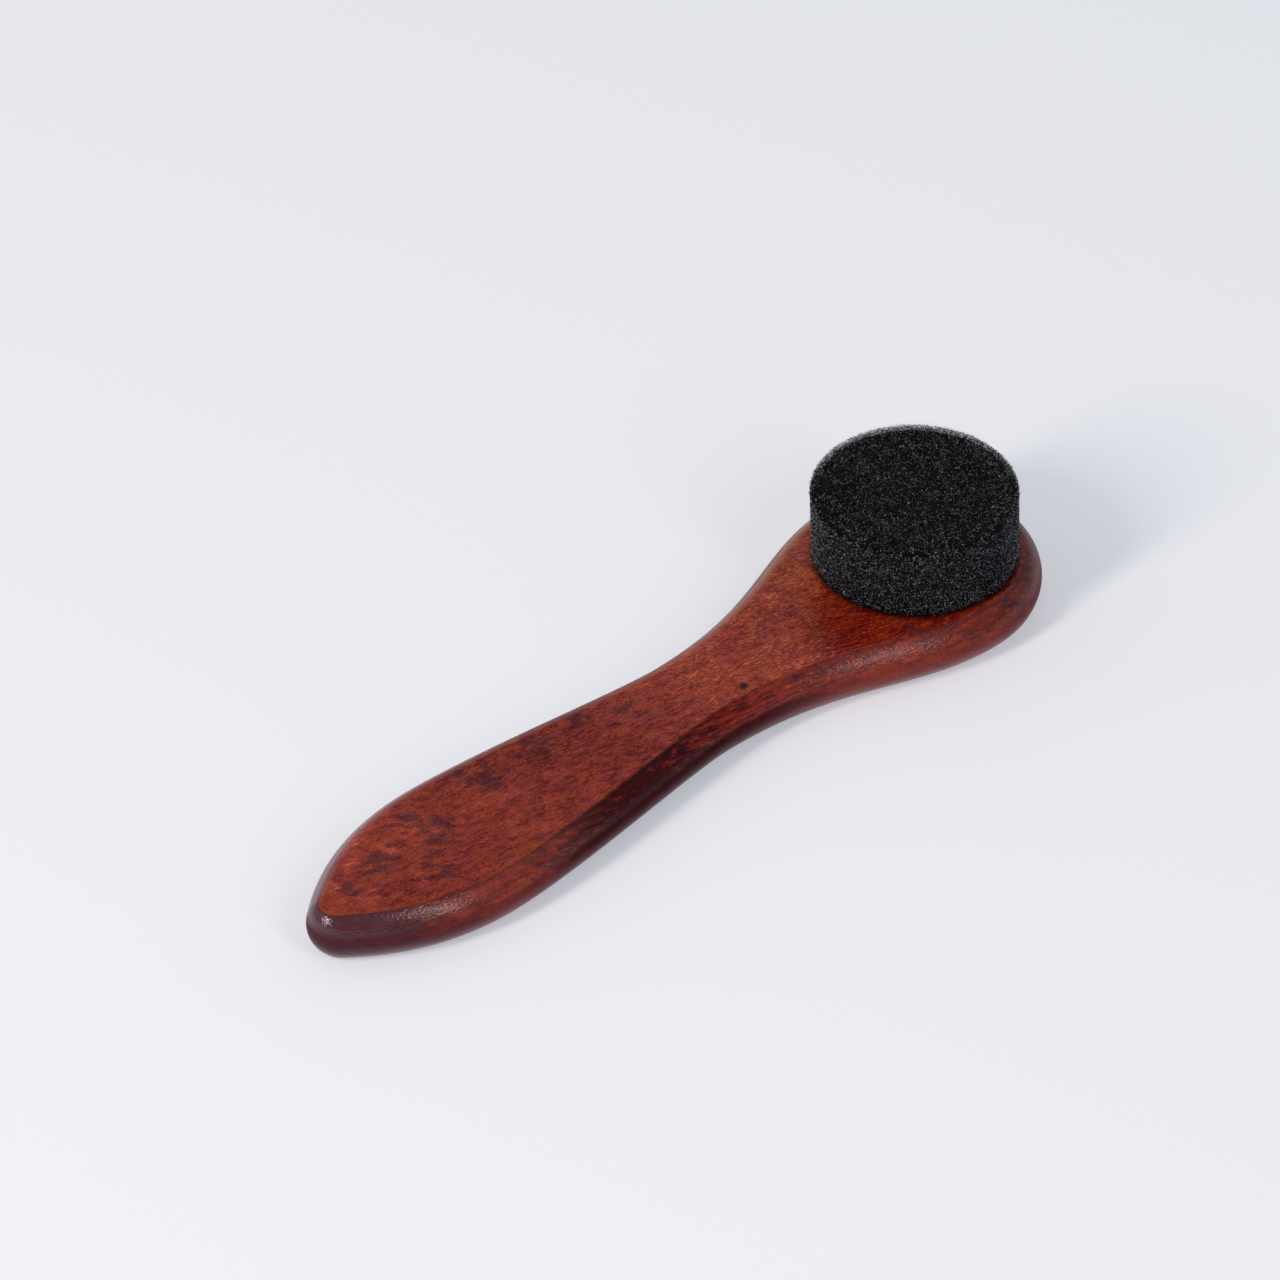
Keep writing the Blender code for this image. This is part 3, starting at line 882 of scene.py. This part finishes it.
def shade_of(places, rng, level, scatter):
    """Tones of struts near these places.

    They scatter widely and are cloudy over millimetres. Painted light makes them paler on the pad's side than
    on its top, and painted shade makes them dark at the pad's foot.
    """
    clouds = np.array([smooth_noise.noise(Vector(place) / TONE_CLOUD) for place in places])
    # Painted shade: the struts darken towards the pad's foot
    height = np.clip((places[:, 2] - PAD_BASE) / FOOT_SHADE, 0.0, 1.0)
    foot = 0.12 + 0.88 * height * height * (3 - 2 * height)
    side, top = nearness(places, SIDE_LIGHT_IN)
    # Painted light: struts on the pad's side are paler than on its top, and a little darker at the rim
    # between
    side_light = 1 + 0.22 * side - 0.30 * side * top
    scattered = level * np.exp(rng.normal(0.0, scatter, len(places)))
    return scattered * (1 + (0.18 - 0.13 * side) * clouds) * foot * side_light


def grow_foam(material):
    """The pad's open cells: layers of struts under its skin, struts between layers and loose cut ends."""
    rng = np.random.default_rng(SEED)
    layers = [cell_layer(depth, cell, rng) for depth, cell, left, tone, frayed in CELL_LAYERS]
    levels = [tone for depth, cell, left, tone, frayed in CELL_LAYERS]
    starts, ends, widths, tones = [], [], [], []

    # Each layer's own struts
    for (nodes, outward, pairs), (depth, cell, left, tone, frayed) in zip(layers, CELL_LAYERS):
        side, top = nearness(nodes[pairs[:, 0]], FRAYED)
        kept = pairs[rng.uniform(size=len(pairs)) < left * (1 - frayed * side * top)]
        starts.append(nodes[kept[:, 0]])
        ends.append(nodes[kept[:, 1]])
        widths.append(rng.uniform(*CELL_STRUTS, len(kept)) * STRUT)
        tones.append(shade_of(nodes[kept[:, 0]], rng, tone, 0.90))

    # Struts that go down to the next layer
    for (upper, _, _), (lower, _, _), tone, linked in zip(layers, layers[1:], levels[1:], LINKED):
        tree = tree_of(lower)
        upper = upper[rng.uniform(size=len(upper)) < linked]
        nearest = np.array([tree.find(place)[1] for place in upper])
        starts.append(upper)
        ends.append(lower[nearest])
        widths.append(rng.uniform(*LINK_STRUTS, len(upper)) * STRUT)
        tones.append(shade_of(upper, rng, tone, 0.6))

    # Loose cut ends, longer and darker at the frayed rim; the palest of them are painted glints
    for (nodes, outward, _), share in zip(layers, CUT_ENDS):
        cut = rng.uniform(size=len(nodes)) < share
        count = int(cut.sum())
        stray = outward[cut] + rng.normal(0.0, CUT_STRAY, (count, 3))
        starts.append(nodes[cut])
        side, top = nearness(nodes[cut], FRAYED)
        length = rng.uniform(*CUT_LENGTHS, count) * (1 + 2.5 * side * top) * MM
        tips = nodes[cut] + stray * length[:, None]
        tips[:, 2] = np.clip(tips[:, 2], nodes[:, 2].min(), PAD_HIGH.z - STRUT)
        ends.append(tips)
        swollen = np.exp(rng.normal(0.0, CUT_SWELL, count))
        widths.append(0.85 * swollen * STRUT)
        tones.append(shade_of(tips, rng, CUT_GLINT_TONE, 1.6) * swollen * (1 - 0.5 * side * top))
    mesh = strut_mesh("foam_cells", *(np.concatenate(part) for part in (starts, ends, widths, tones)))
    return link_piece("foam_cells", mesh, material)


def turn_solid(name, profile, sides, material):
    """A closed solid turned about the pad's axis from a section that starts on the axis."""
    verts = [leaned(0.0, 0.0, profile[0][1])]
    faces = []
    rings = []
    for radius, height in profile[1:]:
        rings.append(len(verts))
        for i in range(sides):
            turn = 2 * math.pi * i / sides
            verts.append(leaned(radius * math.cos(turn), radius * math.sin(turn), height))
    for i in range(sides):
        j = (i + 1) % sides
        faces.append((0, rings[0] + i, rings[0] + j))
        for upper, lower in zip(rings, rings[1:]):
            faces.append((upper + i, lower + i, lower + j, upper + j))
    faces.append(tuple(rings[-1] + sides - 1 - i for i in range(sides)))
    mesh = bpy.data.meshes.new(name)
    mesh.from_pydata(verts, [], faces)
    mesh.validate()
    return link_piece(name, mesh, material)


def model_glue(material):
    """The film of glue: a disc a little smaller than the pad."""
    bpy.ops.object.select_all(action="DESELECT")
    bpy.ops.mesh.primitive_cylinder_add(
        vertices=GLUE_SIDES,
        radius=FILM_RADIUS,
        depth=2 * GLUE_DEPTH,
        location=(PAD_X, 0.0, THICKNESS + GLUE_DEPTH),
    )
    disc = bpy.context.object
    bpy.ops.object.mode_set(mode="EDIT")
    bpy.ops.mesh.select_all(action="SELECT")
    bpy.ops.mesh.bevel(offset=GLUE_DEPTH / 2, segments=2, affect="EDGES")
    bpy.ops.object.mode_set(mode="OBJECT")
    bpy.ops.object.shade_smooth_by_angle(angle=math.radians(40))
    return finish_piece(disc, "glue_disc", material)


def aim(heading, elevation):
    """Unit vector towards a place on the sky, with its heading in degrees right of the camera's view."""
    turn = math.radians(heading)
    rise = math.radians(elevation)
    flat = math.cos(turn) * CAMERA_AWAY + math.sin(turn) * CAMERA_RIGHT
    return (flat * math.cos(rise) + Vector((0.0, 0.0, math.sin(rise)))).normalized()


def softbox(name, heading, elevation, distance, size, watts, colour):
    """A rectangular area light that faces the middle of the brush."""
    data = bpy.data.lights.new(name, "AREA")
    data.shape = "RECTANGLE"
    data.size, data.size_y = size
    data.energy = watts
    data.color = linear(colour)[:3]
    lamp = bpy.data.objects.new(name, data)
    bpy.context.scene.collection.objects.link(lamp)
    way = aim(heading, elevation)
    lamp.location = LOOK_AT + way * distance
    lamp.rotation_euler = way.to_track_quat("Z", "Y").to_euler()


def light_backdrop():
    """The studio round the table: pale walls, a darker ceiling, and the sweep of the backdrop ahead."""
    world = bpy.data.worlds.new("studio")
    world.use_nodes = True
    world.node_tree.nodes.clear()
    node = partial(add_node, world.node_tree)
    towards = node("TexCoord", output="Generated")
    rise = node("SeparateXYZ", (towards,), output="Z")
    walls = node("ValToRGB", (rise,), stops=((0.0, 0.45), (0.65, 0.38), (1.0, 0.33)))
    forward = node("VectorMath", (towards, CAMERA_AWAY), output="Value", operation="DOT_PRODUCT")
    behind = node("MapRange", (forward, 0.3, -0.2), **SOFT)
    low = node("MapRange", (rise, 0.5, 0.15), **SOFT)
    unlit = node("Math", (low, 0.5, 0.2), operation="MULTIPLY_ADD")
    unlit = node("Math", (behind, unlit), operation="MULTIPLY")
    walls = node("Mix", {0: unlit, 6: walls, 7: "#000000"}, **LAID_OVER)
    ahead = node("VectorMath", (towards, aim(0.0, 38.0)), output="Value", operation="DOT_PRODUCT")
    sweep = node("ValToRGB", (ahead,), stops=((0.80, 0.0), (0.97, 0.02)), easing="EASE")
    colour = node("Mix", {0: 1.0, 6: walls, 7: sweep}, output=2, data_type="RGBA", blend_type="ADD")
    colour = node("Mix", {0: 1.0, 6: colour, 7: "#fbfbff"}, **TINTED)
    sky = node("Background", {"Color": colour, "Strength": 1.0})
    node("OutputWorld", {"Surface": sky})
    bpy.context.scene.world = world


def make_table():
    """Frosted white acrylic of a light table, faintly lit from below, so that shadows on it stay pale."""
    material, node = new_material("frosted_acrylic")
    shader = node("BsdfPrincipled", {
        "Base Color": "#e6e7eb", "Roughness": 0.9, "Specular IOR Level": 0.1,
        "Emission Color": "#edf4ff", "Emission Strength": TABLE_GLOW,
    })
    node("OutputMaterial", {"Surface": shader})
    return material


def lay_floor():
    """The wide table top that the brush lies on."""
    bpy.ops.object.select_all(action="DESELECT")
    bpy.ops.mesh.primitive_plane_add(size=TABLE_SIDE, location=(0.0, 0.0, -TABLE_DROP))
    return finish_piece(bpy.context.object, "table_top", make_table())


def set_camera():
    """The photograph's own camera, fitted to the outline."""
    data = bpy.data.cameras.new("photo_camera")
    data.lens = LENS
    data.sensor_width = 36.0
    data.clip_start = 0.05
    data.clip_end = 20.0
    camera = bpy.data.objects.new("photo_camera", data)
    bpy.context.scene.collection.objects.link(camera)
    up = CAMERA_BACK.cross(CAMERA_RIGHT)
    rolled_right = math.cos(ROLL) * CAMERA_RIGHT + math.sin(ROLL) * up
    rolled_up = math.cos(ROLL) * up - math.sin(ROLL) * CAMERA_RIGHT
    axes = Matrix((rolled_right, rolled_up, CAMERA_BACK)).transposed()
    camera.matrix_world = Matrix.Translation(LOOK_AT + CAMERA_DISTANCE * CAMERA_BACK) @ axes.to_4x4()
    bpy.context.scene.camera = camera


handle = model_handle(make_wood())
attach(handle, "root")
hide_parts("handle")

glue = model_glue(make_glue())
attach(glue, "root")
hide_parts("glue_film")

foam = grow_foam(make_foam())
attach(foam, "root")
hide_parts("foam_pad")

core = turn_solid("foam_depth", pad_profile(CORE_DEPTH, CORE_RIM), CORE_SIDES, make_foam_depth())
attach(core, "root")
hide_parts("foam_pad")

lay_floor()
light_backdrop()
for softbox_name, settings in SOFTBOXES.items():
    softbox(softbox_name, *settings)
set_camera()
bpy.context.scene.view_settings.view_transform = "Standard"
